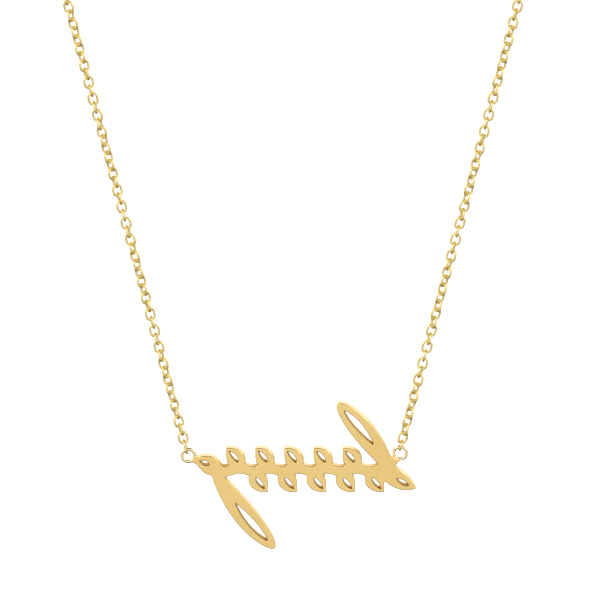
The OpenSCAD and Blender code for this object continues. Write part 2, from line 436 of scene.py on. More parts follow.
PLATE_SATIN = GoldFinish(
    name="plate_satin", light_tone=(0.92, 0.67, 0.265, 1), deep_tone=(0.88, 0.62, 0.23, 1), smooth=0.27,
    hazy=0.34, cloud_scale=160.0, line_scale=5000.0, haze_scale=700.0, strokes=(0.06, 1.0, 1.0),
    mark_depth=0.006 * MM)
CHAIN_POLISH = GoldFinish(
    name="chain_polish", light_tone=(0.82, 0.69, 0.36, 1), deep_tone=(0.80, 0.64, 0.30, 1), smooth=0.45,
    hazy=0.55, cloud_scale=400.0, line_scale=9000.0, haze_scale=1500.0, strokes=(1.0, 1.0, 1.0),
    # On the chain the pale tone paints a lighter outer side on each wire, and the second tone paints light
    # into the crossings of the links, brighter against their shade.
    mark_depth=0.002 * MM, polished_highlight_tone=(0.98, 0.78, 0.32, 1), polished_roughness=0.42,
    painted_light_tone=(1.0, 0.88, 0.37, 1), painted_light_roughness=0.6, limb_tint=(1.0, 0.98, 0.92, 1))
CLASP_POLISH = GoldFinish(
    name="clasp_polish", light_tone=(0.92, 0.70, 0.29, 1), deep_tone=(0.86, 0.62, 0.22, 1), smooth=0.13,
    hazy=0.24, cloud_scale=300.0, line_scale=6000.0, haze_scale=900.0, strokes=(1.0, 0.15, 1.0),
    mark_depth=0.0025 * MM)


@dataclass
class Shell:
    """Points and faces of one piece, gathered from several closed forms, with their masks."""

    name: str
    points: list[np.ndarray] = field(default_factory=list)
    faces: list[np.ndarray] = field(default_factory=list)
    masks: dict[str, list[np.ndarray]] = field(default_factory=lambda: {mask: [] for mask in MASKS})
    sharp: list[np.ndarray] = field(default_factory=list)
    count: int = 0

    def add(self, points: np.ndarray, faces: list[np.ndarray],
            masks: dict[str, np.ndarray | float] | None = None, sharp: np.ndarray | None = None) -> None:
        """Adds a form.

        Args:
            points: Its points, one a row.
            faces: Arrays of faces, each with as many columns as its faces have corners.
            masks: Masks by name, each all over or at each point.
            sharp: Pairs of points whose edge is sharp.
        """
        self.points.append(points.reshape(-1, 3))
        count = len(self.points[-1])
        self.faces.extend(f + self.count for f in faces)
        for mask in MASKS:
            value = np.asarray((masks or {}).get(mask, 0.0), float).reshape(-1)
            self.masks[mask].append(np.broadcast_to(value, count))
        if sharp is not None:
            self.sharp.append(sharp + self.count)
        self.count += count

    def build(self) -> bpy.types.Object:
        """Makes the object.

        Returns:
            The new object, linked to the scene and shaded smooth.
        """
        mesh = bpy.data.meshes.new(self.name)
        faces = [row for block in self.faces for row in block.tolist()]
        mesh.from_pydata(np.concatenate(self.points).tolist(), [], faces)
        for mask, values in self.masks.items():
            mesh.attributes.new(mask, "FLOAT", "POINT").data.foreach_set(
                "value", np.concatenate(values).astype(np.float32))
        mesh.polygons.foreach_set("use_smooth", np.ones(len(mesh.polygons), bool))
        if self.sharp:
            marked = {tuple(sorted(pair)) for pair in np.concatenate(self.sharp).tolist()}
            hard = np.array([tuple(sorted(e.vertices)) in marked for e in mesh.edges])
            mesh.attributes.new("sharp_edge", "BOOLEAN", "EDGE").data.foreach_set("value", hard)
        mesh.validate()
        mesh.update()
        made = bpy.data.objects.new(self.name, mesh)
        bpy.context.scene.collection.objects.link(made)
        return made


def swept_faces(loops: int, along: int, around: int) -> np.ndarray:
    """Quads of several closed tubes, each a grid of points that wraps both ways.

    Args:
        loops: Number of tubes.
        along: Points along each tube.
        around: Points round it.

    Returns:
        The quads, one a row.
    """
    grid = np.arange(loops * along * around).reshape(loops, along, around)
    after = np.roll(grid, -1, axis=1)
    quads = np.stack([grid, after, np.roll(after, -1, axis=2), np.roll(grid, -1, axis=2)], axis=-1)
    return quads.reshape(-1, 4)


def capped_faces(rows: int, around: int) -> list[np.ndarray]:
    """Faces of one closed form: a grid of rows round it, and a middle point at each of its two ends.

    Args:
        rows: Number of rows.
        around: Points round each row.

    Returns:
        The quads between the rows, and the triangles at the ends. The end points come after the grid.
    """
    grid = np.arange(rows * around).reshape(rows, around)
    after = np.roll(grid, -1, axis=1)
    quads = np.stack([grid[:-1], grid[1:], after[1:], after[:-1]], axis=-1).reshape(-1, 4)
    first, last = grid.size, grid.size + 1
    caps = np.concatenate([
        np.stack([np.full(around, first), grid[0], after[0]], axis=-1),
        np.stack([np.full(around, last), after[-1], grid[-1]], axis=-1)])
    return [quads, caps]


def wire_loops(centre_lines: np.ndarray, outwards: np.ndarray, flat: np.ndarray,
               wire: float | np.ndarray, around: int) -> np.ndarray:
    """Points of round wire bent into flat closed loops.

    Args:
        centre_lines: The wire's middle lines, by loop and point.
        outwards: At each point, the direction out of the loop in its plane.
        flat: The normal of each loop's plane, by loop: the direction out of the loop crossed with the way
            along the wire, so that the faces look outwards.
        wire: Diameter of the wire, all along or at each point.
        around: Points round the wire.

    Returns:
        The points, by loop, point along and point round.
    """
    angle = np.arange(around) * TURN / around
    outward = outwards[:, :, None, :] * np.cos(angle)[None, None, :, None]
    across = flat[:, None, None, :] * np.sin(angle)[None, None, :, None]
    thick = np.broadcast_to(wire, centre_lines.shape[1])[None, :, None, None]
    return centre_lines[:, :, None, :] + thick / 2 * (outward + across)


def add_ring(shell: Shell, centre: np.ndarray, first: np.ndarray, second: np.ndarray, radius: float,
             wire: float, along: int = 96, around: int = 20, masks: dict[str, float] | None = None,
             seam: float | None = None, seam_depth: float = 0.16) -> None:
    """Adds a round ring of round wire to a piece.

    Args:
        shell: The piece.
        centre: Centre of the ring.
        first: A unit vector in the ring's plane.
        second: Another one, square to it.
        radius: Radius of the wire's middle line.
        wire: Diameter of the wire.
        along: Points along the wire.
        around: Points round the wire.
        masks: Masks by name, each all over the ring.
        seam: Where the two ends of the wire meet, as an angle from the first vector.
        seam_depth: Share of the wire's thickness that is missing there.
    """
    angle = np.arange(along) * TURN / along
    outwards = np.cos(angle)[:, None] * first + np.sin(angle)[:, None] * second
    thick, groove = np.full(along, wire), np.zeros((along, around))
    if seam is not None:
        meeting = round(seam / TURN * along) % along
        thick[meeting] *= 1 - seam_depth
        # A dark joint where the wire's ends meet.
        groove[meeting] = 1.0
    points = wire_loops((centre + radius * outwards)[None], outwards[None],
                        np.cross(first, second)[None], thick, around)
    shell.add(points, [swept_faces(1, along, around)], {**(masks or {}), SEAM_AND_RECESS_SHADE: groove})


def add_bead(shell: Shell, centre: np.ndarray, axes: np.ndarray, rings: int = 12, around: int = 20,
             masks: dict[str, float] | None = None) -> None:
    """Adds a closed rounded bead, such as a run of solder.

    Args:
        shell: The piece.
        centre: Centre of the bead.
        axes: Its three half axes, one a row, right-handed.
        rings: Rings of faces from end to end.
        around: Points round the bead.
        masks: Masks by name, each all over the bead.
    """
    tilt = np.arange(1, rings) * math.pi / rings
    turn = np.arange(around) * TURN / around
    body = np.stack([
        np.outer(np.sin(tilt), np.cos(turn)), np.outer(np.sin(tilt), np.sin(turn)),
        np.outer(np.cos(tilt), np.ones(around))], axis=-1).reshape(-1, 3)
    local = np.concatenate([body, [[0, 0, 1], [0, 0, -1]]])
    shell.add(centre + local @ axes, capped_faces(rings - 1, around), masks)


def tidy_mesh(mesh: bpy.types.Mesh) -> None:
    """Joins points that lie on each other and turns all faces outwards.

    Args:
        mesh: The mesh.
    """
    work = bmesh.new()
    work.from_mesh(mesh)
    bmesh.ops.remove_doubles(work, verts=work.verts, dist=SAME_POINT)
    bmesh.ops.dissolve_degenerate(work, edges=work.edges, dist=SAME_POINT)
    bmesh.ops.recalc_face_normals(work, faces=work.faces)
    work.to_mesh(mesh)
    work.free()


def finish_piece(piece: bpy.types.Object, material: bpy.types.Material, body: Body,
                 nodes: list[str]) -> None:
    """Gives a new piece its finish and its place in the frame.

    Args:
        piece: The piece.
        material: Its finish.
        body: The body that it moves with.
        nodes: The nodes that it stands for.
    """
    piece.data.materials.append(material)
    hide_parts(*nodes)
    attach(piece, body.value)
    logger.info("%s: %d points, rides on %s", piece.name, len(piece.data.vertices), body.value)


@dataclass(frozen=True)
class LoopSizes:
    """Route of the necklace, from the rings up the front and round the neck."""

    ring_span: float = 27.5 * MM
    ring_rise: float = 0.34 * MM
    ring_od: float = 2.1 * MM
    ring_wire: float = 0.44 * MM
    jump_wire: float = 0.4 * MM
    lean: float = math.radians(14.1)
    straight: float = 72 * MM
    front_pull: float = 0.38
    nape_pull: float = 0.68

    @property
    def ring_radius(self) -> float:
        """Radius of a soldered ring's middle line."""
        return (self.ring_od - self.ring_wire) / 2

    def middle(self) -> np.ndarray:
        """The middle between the two soldered rings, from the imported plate's hinge."""
        hinge = np.array(frame["joints"][0]["pos_m"], float)
        return hinge - UP * self.ring_radius * math.cos(self.lean)

    def ring_centre(self, side: Side) -> np.ndarray:
        """Centre of a soldered ring.

        Args:
            side: Which ring.

        Returns:
            The point.
        """
        return self.middle() + side.value * np.array([self.ring_span / 2, 0, self.ring_rise / 2])

    def way(self, side: Side) -> np.ndarray:
        """Direction of a strand's straight stretch, from the plate up."""
        return np.array([side.value * math.sin(self.lean), 0, math.cos(self.lean)])


class StrandPath:
    """The line that one strand follows, from the wire of its soldered ring to its jump ring's."""

    STEPS = 400
    INWARDS_UP = np.array([0.6, 0, 0.8])

    def __init__(self, sizes: LoopSizes, side: Side, seat: float) -> None:
        """Works out the line.

        Args:
            sizes: Route of the necklace.
            side: Which strand.
            seat: Where the end link hangs on its ring, as an angle outwards from the top.
        """
        self.side = side
        self.straight = sizes.straight
        self.way = sizes.way(side)
        outwards = np.array([side.value * math.sin(seat), 0, math.cos(seat)])
        self.start = sizes.ring_centre(side) + sizes.ring_radius * outwards
        reach = -self.start[1]
        shoulder = self.start + self.straight * self.way
        nape = self.nape_end(sizes, side)
        self.controls = np.array([
            shoulder, shoulder + sizes.front_pull * reach * self.way,
            nape + [side.value * sizes.nape_pull * reach, 0, 0], nape])
        self.shares = np.linspace(0, 1, self.STEPS + 1)
        steps = np.linalg.norm(np.diff(self.curve(self.shares), axis=0), axis=1)
        self.runs = np.concatenate([[0], np.cumsum(steps)])
        self.length = self.straight + self.runs[-1]

    @staticmethod
    def nape_end(sizes: LoopSizes, side: Side) -> np.ndarray:
        """The middle of the wire on the outer side of a jump ring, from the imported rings.

        Args:
            sizes: Route of the necklace.
            side: Which strand.

        Returns:
            The point.
        """
        low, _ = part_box("clasp_jump_ring")
        _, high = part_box("end_jump_ring")
        x = low.x + sizes.jump_wire / 2 if side is Side.LEFT else high.x - sizes.jump_wire / 2
        return x * ACROSS

    def curve(self, t: np.ndarray) -> np.ndarray:
        """Points of the curve round the neck.

        Args:
            t: Shares of the curve, 0 where it starts and 1 where it ends.

        Returns:
            The points, one a row.
        """
        c, t = self.controls, t[:, None]
        s = 1 - t
        return s ** 3 * c[0] + 3 * t * s ** 2 * c[1] + 3 * t ** 2 * s * c[2] + t ** 3 * c[3]

    def curve_way(self, t: np.ndarray) -> np.ndarray:
        """Directions of the curve round the neck.

        Args:
            t: Shares of the curve, 0 where it starts and 1 where it ends.

        Returns:
            Unit vectors, one a row.
        """
        c, t = self.controls, t[:, None]
        s = 1 - t
        return unit(s ** 2 * (c[1] - c[0]) + 2 * t * s * (c[2] - c[1]) + t ** 2 * (c[3] - c[2]))

    def frames(self, lengths: np.ndarray) -> tuple[np.ndarray, np.ndarray, np.ndarray, np.ndarray]:
        """Places and axes along the line.

        Args:
            lengths: Distances from the line's start.

        Returns:
            Points, first and second axes square to the line, and directions of the line.
        """
        share = np.interp(lengths - self.straight, self.runs, self.shares)
        on_straight = (lengths <= self.straight)[:, None]
        points = np.where(on_straight, self.start + lengths[:, None] * self.way, self.curve(share))
        ways = np.where(on_straight, self.way, self.curve_way(share))
        lift = self.INWARDS_UP * [-self.side.value, 1, 1]
        second = unit(lift - (ways @ lift)[:, None] * ways)
        return points, np.cross(second, ways), second, ways


@dataclass
class CableStrand:
    """One strand of cable chain: flat oval links of round wire, each square to its neighbours.

    Its links hang from the soldered ring to the jump ring. The first one is longer by end_link_extra, so
    that the others stand where the photograph shows them, and by end_play, so that the ring can swing.
    The last three sizes are spans over which a mask comes in: by how far the wire faces along the strand,
    and by how far a point of the wire faces out of its link.
    """

    side: Side
    loop: LoopSizes
    seat: float = math.radians(19.5)
    count: int = 172
    link_width: float = 1.46 * MM
    wire: float = 0.345 * MM
    play: float = 0.02 * MM
    end_link_extra: float = 0.2 * MM
    end_play: float = 0.035 * MM
    first_roll: float = math.radians(3.0)
    twist: float = math.radians(6.43)
    twisted: int = 113
    roll_jitter: float = math.radians(2.0)
    along: int = 36
    around: int = 12
    seed: int = 7
    end_bend: tuple[float, float] = (0.3125, 0.9375)
    contact: tuple[float, float] = (0.85, -0.15)
    open_side: tuple[float, float] = (1 / 14, 11 / 14)

    def rolls(self) -> np.ndarray:
        """Turn of each link about the strand.

        The front links drift by a steady twist, and the hidden ones take up what is left, so that the last
        link crosses its jump ring as the first one crosses its soldered ring.

        Returns:
            The angles.
        """
        index = np.arange(self.count)
        front = self.twist * self.twisted
        whole = math.pi * round(self.twist * (self.count - 1) / math.pi)
        hidden = (whole - front) / (self.count - 1 - self.twisted)
        drift = np.where(index <= self.twisted, index * self.twist, front + (index - self.twisted) * hidden)
        jitter = np.random.default_rng(self.seed).uniform(-1, 1, self.count) * self.roll_jitter
        jitter[[0, 1, -2, -1]] = 0
        settling = np.where(index > 0, self.first_roll * ramp(index, self.twisted, 0), 0)
        return index * math.pi / 2 + drift + jitter + settling

    def spacing(self, length: float) -> tuple[float, np.ndarray, np.ndarray]:
        """Places of the links along the strand.

        Args:
            length: Length of the line from the middle of the ring's wire to the middle of the jump ring's.

        Returns:
            The pitch, the distances of the links' middles from the line's start, and how much longer than
            the rest each link is.
        """
        wires = (self.loop.ring_wire + self.loop.jump_wire) / 2
        pitch = (length + self.play + wires - self.end_link_extra) / self.count
        longer = np.zeros(self.count)
        longer[0] = self.end_link_extra + self.end_play
        first = (pitch - self.play - self.loop.ring_wire) / 2 + self.end_link_extra
        return pitch, first + pitch * np.arange(self.count) - longer / 2, longer

    def outline(self, inner_length: float) -> tuple[np.ndarray, np.ndarray]:
        """Middle line of a link's wire in its own plane, across and along.

        Args:
            inner_length: Length of the hole in the link.

        Returns:
            Points and outward directions.
        """
        radius = (self.link_width - self.wire) / 2
        straight = inner_length + 2 * self.wire - self.link_width
        bend = math.pi * radius
        run = (np.arange(self.along) + 0.5) * 2 * (bend + straight) / self.along
        half, rest = np.divmod(run, bend + straight)
        angle = np.minimum(rest, bend) / radius
        outwards = np.stack([np.cos(angle), np.sin(angle)], axis=1)
        bend_centres = np.stack([0 * rest, straight / 2 - np.maximum(rest - bend, 0)], axis=1)
        sign = np.where(half == 0, 1, -1)[:, None]
        return sign * (bend_centres + radius * outwards), sign * outwards

    def masks(self, outwards: np.ndarray) -> dict[str, np.ndarray]:
        """Painted light where the links cross, brighter against their shade, and a painted highlight on the
        outer side of each wire.

        Args:
            outwards: Outward directions along one link's wire.

        Returns:
            Masks by name, over all links' points.
        """
        outward = np.cos(np.arange(self.around) * TURN / self.around)
        near_end = ramp(np.abs(outwards[:, 1]), *self.end_bend)
        shape = (self.count, self.along, self.around)
        # Painted light in the links' crossings, and a painted highlight on each wire's outer side.
        return {PAINTED_LIGHT: np.broadcast_to(np.outer(near_end, ramp(outward, *self.contact)), shape),
                POLISH_AND_HIGHLIGHT: np.broadcast_to(ramp(outward, *self.open_side), shape)}

    def build(self, material: bpy.types.Material) -> bpy.types.Object:
        """Makes the strand.

        Args:
            material: Its finish.

        Returns:
            The new piece.
        """
        path = StrandPath(self.loop, self.side, self.seat)
        pitch, middles, longer = self.spacing(path.length)
        centres, x, y, z = path.frames(middles)
        roll = self.rolls()[:, None]
        across = x * np.cos(roll) + y * np.sin(roll)
        flat = np.cross(across, z)
        outline, outwards = self.outline(pitch + self.play)
        half_straight = (pitch + self.play) / 2 + self.wire - self.link_width / 2
        stretch = np.clip(outline[:, 1:] / half_straight, -1, 1)[None] * longer[:, None, None] / 2
        lengthwise = outline[None, :, 1:] + stretch
        lines = centres[:, None] + outline[None, :, :1] * across[:, None] + lengthwise * z[:, None]
        outs = outwards[None, :, :1] * across[:, None] + outwards[None, :, 1:] * z[:, None]
        points = wire_loops(lines, outs, flat, self.wire, self.around)
        shell = Shell(f"chain_{self.side.name.lower()}")
        shell.add(points, [swept_faces(self.count, self.along, self.around)], self.masks(outwards))
        piece = shell.build()
        ends = [f"{piece.name}_front", f"{piece.name}_back"]
        finish_piece(piece, material, Body.CHAIN, ends)
        return piece


@dataclass
class Nameplate:
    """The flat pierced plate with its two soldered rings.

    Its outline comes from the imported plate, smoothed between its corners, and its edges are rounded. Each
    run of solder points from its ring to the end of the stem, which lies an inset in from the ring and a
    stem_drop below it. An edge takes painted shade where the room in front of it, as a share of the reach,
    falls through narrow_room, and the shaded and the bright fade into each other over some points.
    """

    loop: LoopSizes
    rounding: float = 0.13 * MM
    rounding_steps: int = 5
    corner: float = math.radians(28)
    shortest: float = 0.03 * MM
    step: float = 0.09 * MM
    left_inset: float = 3.35 * MM
    right_inset: float = 1.5 * MM
    stem_drop: float = 2.0 * MM
    room_reach: float = 0.7 * MM
    narrow_room: tuple[float, float] = (0.85, 0.45)
    fading: int = 7
    open_share: float = 0.6
    longest_mitre: float = 1.6
    crossing_share: float = 0.93
    solder_axes: tuple[float, float, float] = (0.2 * MM, 0.36 * MM, 0.3 * MM)
    solder_sunk: float = 0.044 * MM
    near: float = 0.001 * MM
    # Painted highlights on the rings and their solder, with patches of painted dark reflection.
    ring_masks: dict[str, float] = field(default_factory=lambda: {POLISH_AND_HIGHLIGHT: 1.0, PAINTED_LIGHT: 0.42})

    def packed_loops(self) -> tuple[list[np.ndarray], float, float]:
        """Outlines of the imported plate's front face.

        Returns:
            The loops in X and Z, and the Y of the front and of the back face.
        """
        source = bmesh.new()
        source.from_mesh(frame["nodes"]["nameplate"].data)
        bmesh.ops.remove_doubles(source, verts=source.verts, dist=SAME_POINT)
        heights = [v.co.y for v in source.verts]
        front, back = min(heights), max(heights)
        level = 0.999
        flat = [f for f in source.faces
                if f.normal.y < -level and f.calc_center_median().y < front + 10 * self.near]
        found = set(flat)
        following = {}
        for face in flat:
            for corner in face.loops:
                if sum(f in found for f in corner.edge.link_faces) == 1:
                    following[corner.vert] = corner.link_loop_next.vert
        loops = []
        while following:
            start = next(iter(following))
            loop, vert = [], start
            while vert in following:
                loop.append((vert.co.x, vert.co.z))
                vert = following.pop(vert)
            loops.append(np.array(loop))
        source.free()
        return loops, front, back

    def smoothed(self, loop: np.ndarray) -> tuple[np.ndarray, np.ndarray]:
        """A loop with its round stretches made of more points.

        Args:
            loop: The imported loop.

        Returns:
            The new loop, and which of its points are corners.
        """
        gaps = np.linalg.norm(loop - np.roll(loop, 1, axis=0), axis=1)
        loop = loop[gaps > self.shortest]
        before = loop - np.roll(loop, 1, axis=0)
        after = np.roll(loop, -1, axis=0) - loop
        cross = before[:, 0] * after[:, 1] - before[:, 1] * after[:, 0]
        turn = np.arctan2(cross, (before * after).sum(axis=1))
        corner = np.abs(turn) > self.corner
        bisector = unit(unit(before) + unit(after))
        points, corners = [], []
        for i, point in enumerate(loop):
            j = (i + 1) % len(loop)
            chord = np.linalg.norm(loop[j] - point)
            leave = unit(loop[j] - point) if corner[i] else bisector[i]
            arrive = unit(loop[j] - point) if corner[j] else bisector[j]
            steps = max(1, round(chord / self.step))
            for k in range(steps):
                t = k / steps
                ends = (2 * t ** 3 - 3 * t ** 2 + 1) * point + (3 * t ** 2 - 2 * t ** 3) * loop[j]
                bow = (t ** 3 - 2 * t ** 2 + t) * leave + (t ** 3 - t ** 2) * arrive
                points.append(ends + chord * bow)
                corners.append(corner[i] and k == 0)
        return np.array(points), np.array(corners)

    def inward(self, loop: np.ndarray) -> np.ndarray:
        """At each point of a loop, the step into the metal that keeps both sides at distance one.

        Args:
            loop: The loop.

        Returns:
            The steps, which a sharp corner doesn't make longer than the longest mitre.
        """
        before = unit(loop - np.roll(loop, 1, axis=0))
        after = unit(np.roll(loop, -1, axis=0) - loop)
        normals = np.stack([before, after])[:, :, ::-1] * [-1, 1]
        middle = unit(normals.sum(axis=0))
        share = np.maximum((middle * normals[0]).sum(axis=1), 1 / self.longest_mitre)
        return middle / share[:, None]

    @staticmethod
    def edges(loops: list[np.ndarray]) -> tuple[np.ndarray, np.ndarray]:
        """Where the edges of all loops start and end."""
        return np.concatenate(loops), np.concatenate([np.roll(loop, -1, axis=0) for loop in loops])

    @staticmethod
    def room(points: np.ndarray, starts: np.ndarray, ends: np.ndarray) -> np.ndarray:
        """Distance of each point from the nearest of many edges.

        Args:
            points: The points.
            starts: Where the edges start.
            ends: Where they end.

        Returns:
            The distances.
        """
        way = ends - starts
        square = (way ** 2).sum(axis=1)
        nearest, block_size = [], 200
        for block in np.array_split(points, max(1, len(points) // block_size)):
            from_start = block[:, None] - starts[None]
            t = np.clip((from_start * way).sum(axis=2) / square, 0, 1)
            nearest.append(np.linalg.norm(from_start - t[..., None] * way, axis=2).min(axis=1))
        return np.concatenate(nearest)

    def recessed(self, loops: list[np.ndarray]) -> np.ndarray:
        """Where the edge takes painted shade: in the pierced leaves and tight corners, with little room in
        front of it.

        Args:
            loops: The outlines.

        Returns:
            A mask over the loops' points one after another.
        """
        starts, ends = self.edges(loops)
        longest = max(loops, key=len)
        masks = []
        for loop in loops:
            outside = loop - self.room_reach * unit(self.inward(loop))
            free = self.room(outside, starts, ends) / self.room_reach
            mask = ramp(free, *self.narrow_room)
            around = np.arange(-self.fading, self.fading + 1)
            mask = mask[(np.arange(len(loop))[:, None] + around) % len(loop)].mean(axis=1)
            masks.append(mask * (self.open_share if loop is longest else 1.0))
        return np.concatenate(masks)

    def inset(self, loops: list[np.ndarray], depth: float) -> list[np.ndarray]:
        """The loops moved into the metal, where points that would cross at a thin tip meet in one.

        Args:
            loops: The outlines.
            depth: How far they move.

        Returns:
            The moved loops, point for point.
        """
        if depth == 0:
            return loops
        starts, ends = self.edges(loops)
        moved = []
        for loop in loops:
            points = loop + depth * self.inward(loop)
            crossed = self.room(points, starts, ends) < self.crossing_share * depth
            if crossed.any() and not crossed.all():
                shift = int(np.argmin(crossed))
                points, crossed = np.roll(points, -shift, axis=0), np.roll(crossed, -shift)
                changes = np.flatnonzero(np.diff(np.concatenate([[0], crossed, [0]])))
                for first, last in zip(changes[::2], changes[1::2]):
                    points[first:last] = (points[first - 1] + points[last % len(points)]) / 2
                points = np.roll(points, shift, axis=0)
            moved.append(points)
        return moved

    @staticmethod
    def cap(loops: list[np.ndarray]) -> np.ndarray:
        """Triangles that fill the outlines, holes left open.

        Args:
            loops: The outlines, whose metal lies on one side.

        Returns:
            Triangles as indices into the loops' points one after another.
        """
        points = np.concatenate(loops)
        edges, first = [], 0
        for loop in loops:
            index = np.arange(len(loop)) + first
            edges += np.stack([index, np.roll(index, -1)], axis=1).tolist()
            first += len(loop)
        scaled = [Vector(p) for p in points / MM]
        epsilon = 1e-7
        verts, _, faces, origins, _, _ = geometry.delaunay_2d_cdt(scaled, edges, [], 0, epsilon, True)
        source = np.array([found[0] if found else -1 for found in origins])
        place = np.array([v[:] for v in verts]) * MM
        triangles = np.array([f for f in faces if len(f) == 3])
        middles = place[triangles].mean(axis=1)
        crossings = np.zeros(len(middles), int)
        for loop in loops:
            a, b = loop, np.roll(loop, -1, axis=0)
            above_a = a[None, :, 1] > middles[:, None, 1]
            above_b = b[None, :, 1] > middles[:, None, 1]
            rise = np.where(b[:, 1] == a[:, 1], 1.0, b[:, 1] - a[:, 1])
            x = a[:, 0] + (middles[:, None, 1] - a[:, 1]) * (b[:, 0] - a[:, 0]) / rise
            crossings += ((above_a != above_b) & (middles[:, None, 0] < x)).sum(axis=1)
        kept = source[triangles[crossings % 2 == 1]]
        return kept[(kept >= 0).all(axis=1)]

    def edge_rows(self, loops: list[np.ndarray], front: float,
                  back: float) -> tuple[list[np.ndarray], dict[str, np.ndarray]]:
        """Rows of points down the plate's rounded edge, from the front face to the back one.

        Args:
            loops: The outlines.
            front: Y of the front face.
            back: Y of the back face.

        Returns:
            The rows, each with all outlines' points one after another, and the masks over all rows.
        """
        angles = np.linspace(math.pi / 2, 0, self.rounding_steps + 1)
        levels = [(self.rounding * (1 - math.cos(a)), self.rounding * (1 - math.sin(a))) for a in angles]
        from_front = [(inset, front + depth) for inset, depth in levels]
        to_back = [(inset, back - depth) for inset, depth in reversed(levels)]
        recessed = self.recessed(loops)
        rows, rim, cut, shaded = [], [], [], []
        for inset, y in from_front + to_back:
            flat = np.concatenate(self.inset(loops, inset))
            rows.append(np.stack([flat[:, 0], np.full(len(flat), y), flat[:, 1]], axis=1))
            share = inset / self.rounding
            rim.append(np.full(len(flat), math.sin(math.pi * share)))
            cut.append((1 - share) * (1 - recessed))
            shaded.append((1 - share) * recessed)
        # The middle of the rounding takes a painted dark reflection line; the walls take a painted
        # highlight, or painted shade where they are recessed.
        masks = {PAINTED_LIGHT: np.concatenate(rim), POLISH_AND_HIGHLIGHT: np.concatenate(cut), SEAM_AND_RECESS_SHADE: np.concatenate(shaded)}
        return rows, masks

    def add_plate(self, shell: Shell) -> None:
        """Adds the plate with its rounded edges to the piece.

        Args:
            shell: The piece.
        """
        packed, front, back = self.packed_loops()
        smooth = [self.smoothed(loop) for loop in packed]
        loops = [points for points, _ in smooth]
        corners = np.concatenate([corner for _, corner in smooth])
        rows, masks = self.edge_rows(loops, front, back)
        count = len(corners)
        index = np.arange(count)
        starts = np.cumsum([0] + [len(loop) for loop in loops[:-1]])
        after = np.concatenate([
            np.roll(np.arange(len(loop)), -1) + first for loop, first in zip(loops, starts)])
        row_starts = np.arange(len(rows) - 1) * count
        walls = [np.stack([index, index + count, after + count, after], axis=1) + k for k in row_starts]
        sharp = [np.stack([index[corners], index[corners] + count], axis=1) + k for k in row_starts]
        cap = self.cap(self.inset(loops, self.rounding))
        points = np.concatenate(rows)
        a, b, c = (points[cap[:, k]] for k in range(3))
        faces_front = np.cross(b - a, c - a)[:, 1] < 0
        front_cap = np.where(faces_front[:, None], cap, cap[:, ::-1])
        back_cap = front_cap[:, ::-1] + (len(rows) - 1) * count
        shell.add(points, [*walls, front_cap, back_cap], masks, np.concatenate(sharp))

    def add_solder(self, shell: Shell, side: Side) -> None:
        """Adds the run of solder that joins a ring to the plate.

        Args:
            shell: The piece.
            side: Which ring.
        """
        inset = self.left_inset if side is Side.LEFT else self.right_inset
        knot = self.loop.middle() + [side.value * (self.loop.ring_span / 2 - inset), 0, -self.stem_drop]
        centre = self.loop.ring_centre(side)
        towards = unit(knot - centre)
        directions = np.array([towards, np.cross(towards, DEPTH), DEPTH])
        place = centre + towards * (self.loop.ring_od / 2 - self.solder_sunk)
        add_bead(shell, place, directions * np.array(self.solder_axes)[:, None], masks=self.ring_masks)

    def shade_flat(self, mesh: bpy.types.Mesh) -> None:
        """Keeps the plate's two faces and its walls flat where they meet the rounding.

        Args:
            mesh: The plate's mesh.
        """
        count = len(mesh.vertices)
        places, normals = np.empty(count * 3), np.empty(count * 3)
        mesh.vertices.foreach_get("co", places)
        mesh.vertices.foreach_get("normal", normals)
        depth, normals = places[1::3], normals.reshape(-1, 3)
        front, back = depth.min(), depth.max()
        given = np.zeros((count, 3))
        given[depth < front + self.near] = -DEPTH
        given[depth > back - self.near] = DEPTH
        from_face = np.minimum(depth - front, back - depth)
        on_wall = np.abs(from_face - self.rounding) < self.near
        for edge in mesh.edges:
            if edge.use_edge_sharp:
                on_wall[list(edge.vertices)] = False
        given[on_wall] = unit(normals[on_wall] * [1, 0, 1])
        mesh.normals_split_custom_set_from_vertices(given.tolist())

    def build(self, material: bpy.types.Material) -> bpy.types.Object:
        """Makes the plate with its rings.

        Args:
            material: Its finish.

        Returns:
            The new piece.
        """
        shell = Shell("pierced_plate")
        self.add_plate(shell)
        for side in Side:
            add_ring(shell, self.loop.ring_centre(side), ACROSS, UP, self.loop.ring_radius,
                     self.loop.ring_wire, masks=self.ring_masks)
            self.add_solder(shell, side)
        piece = shell.build()
        tidy_mesh(piece.data)
        self.shade_flat(piece.data)
        finish_piece(piece, material, Body.PLATE, ["nameplate"])
        return piece


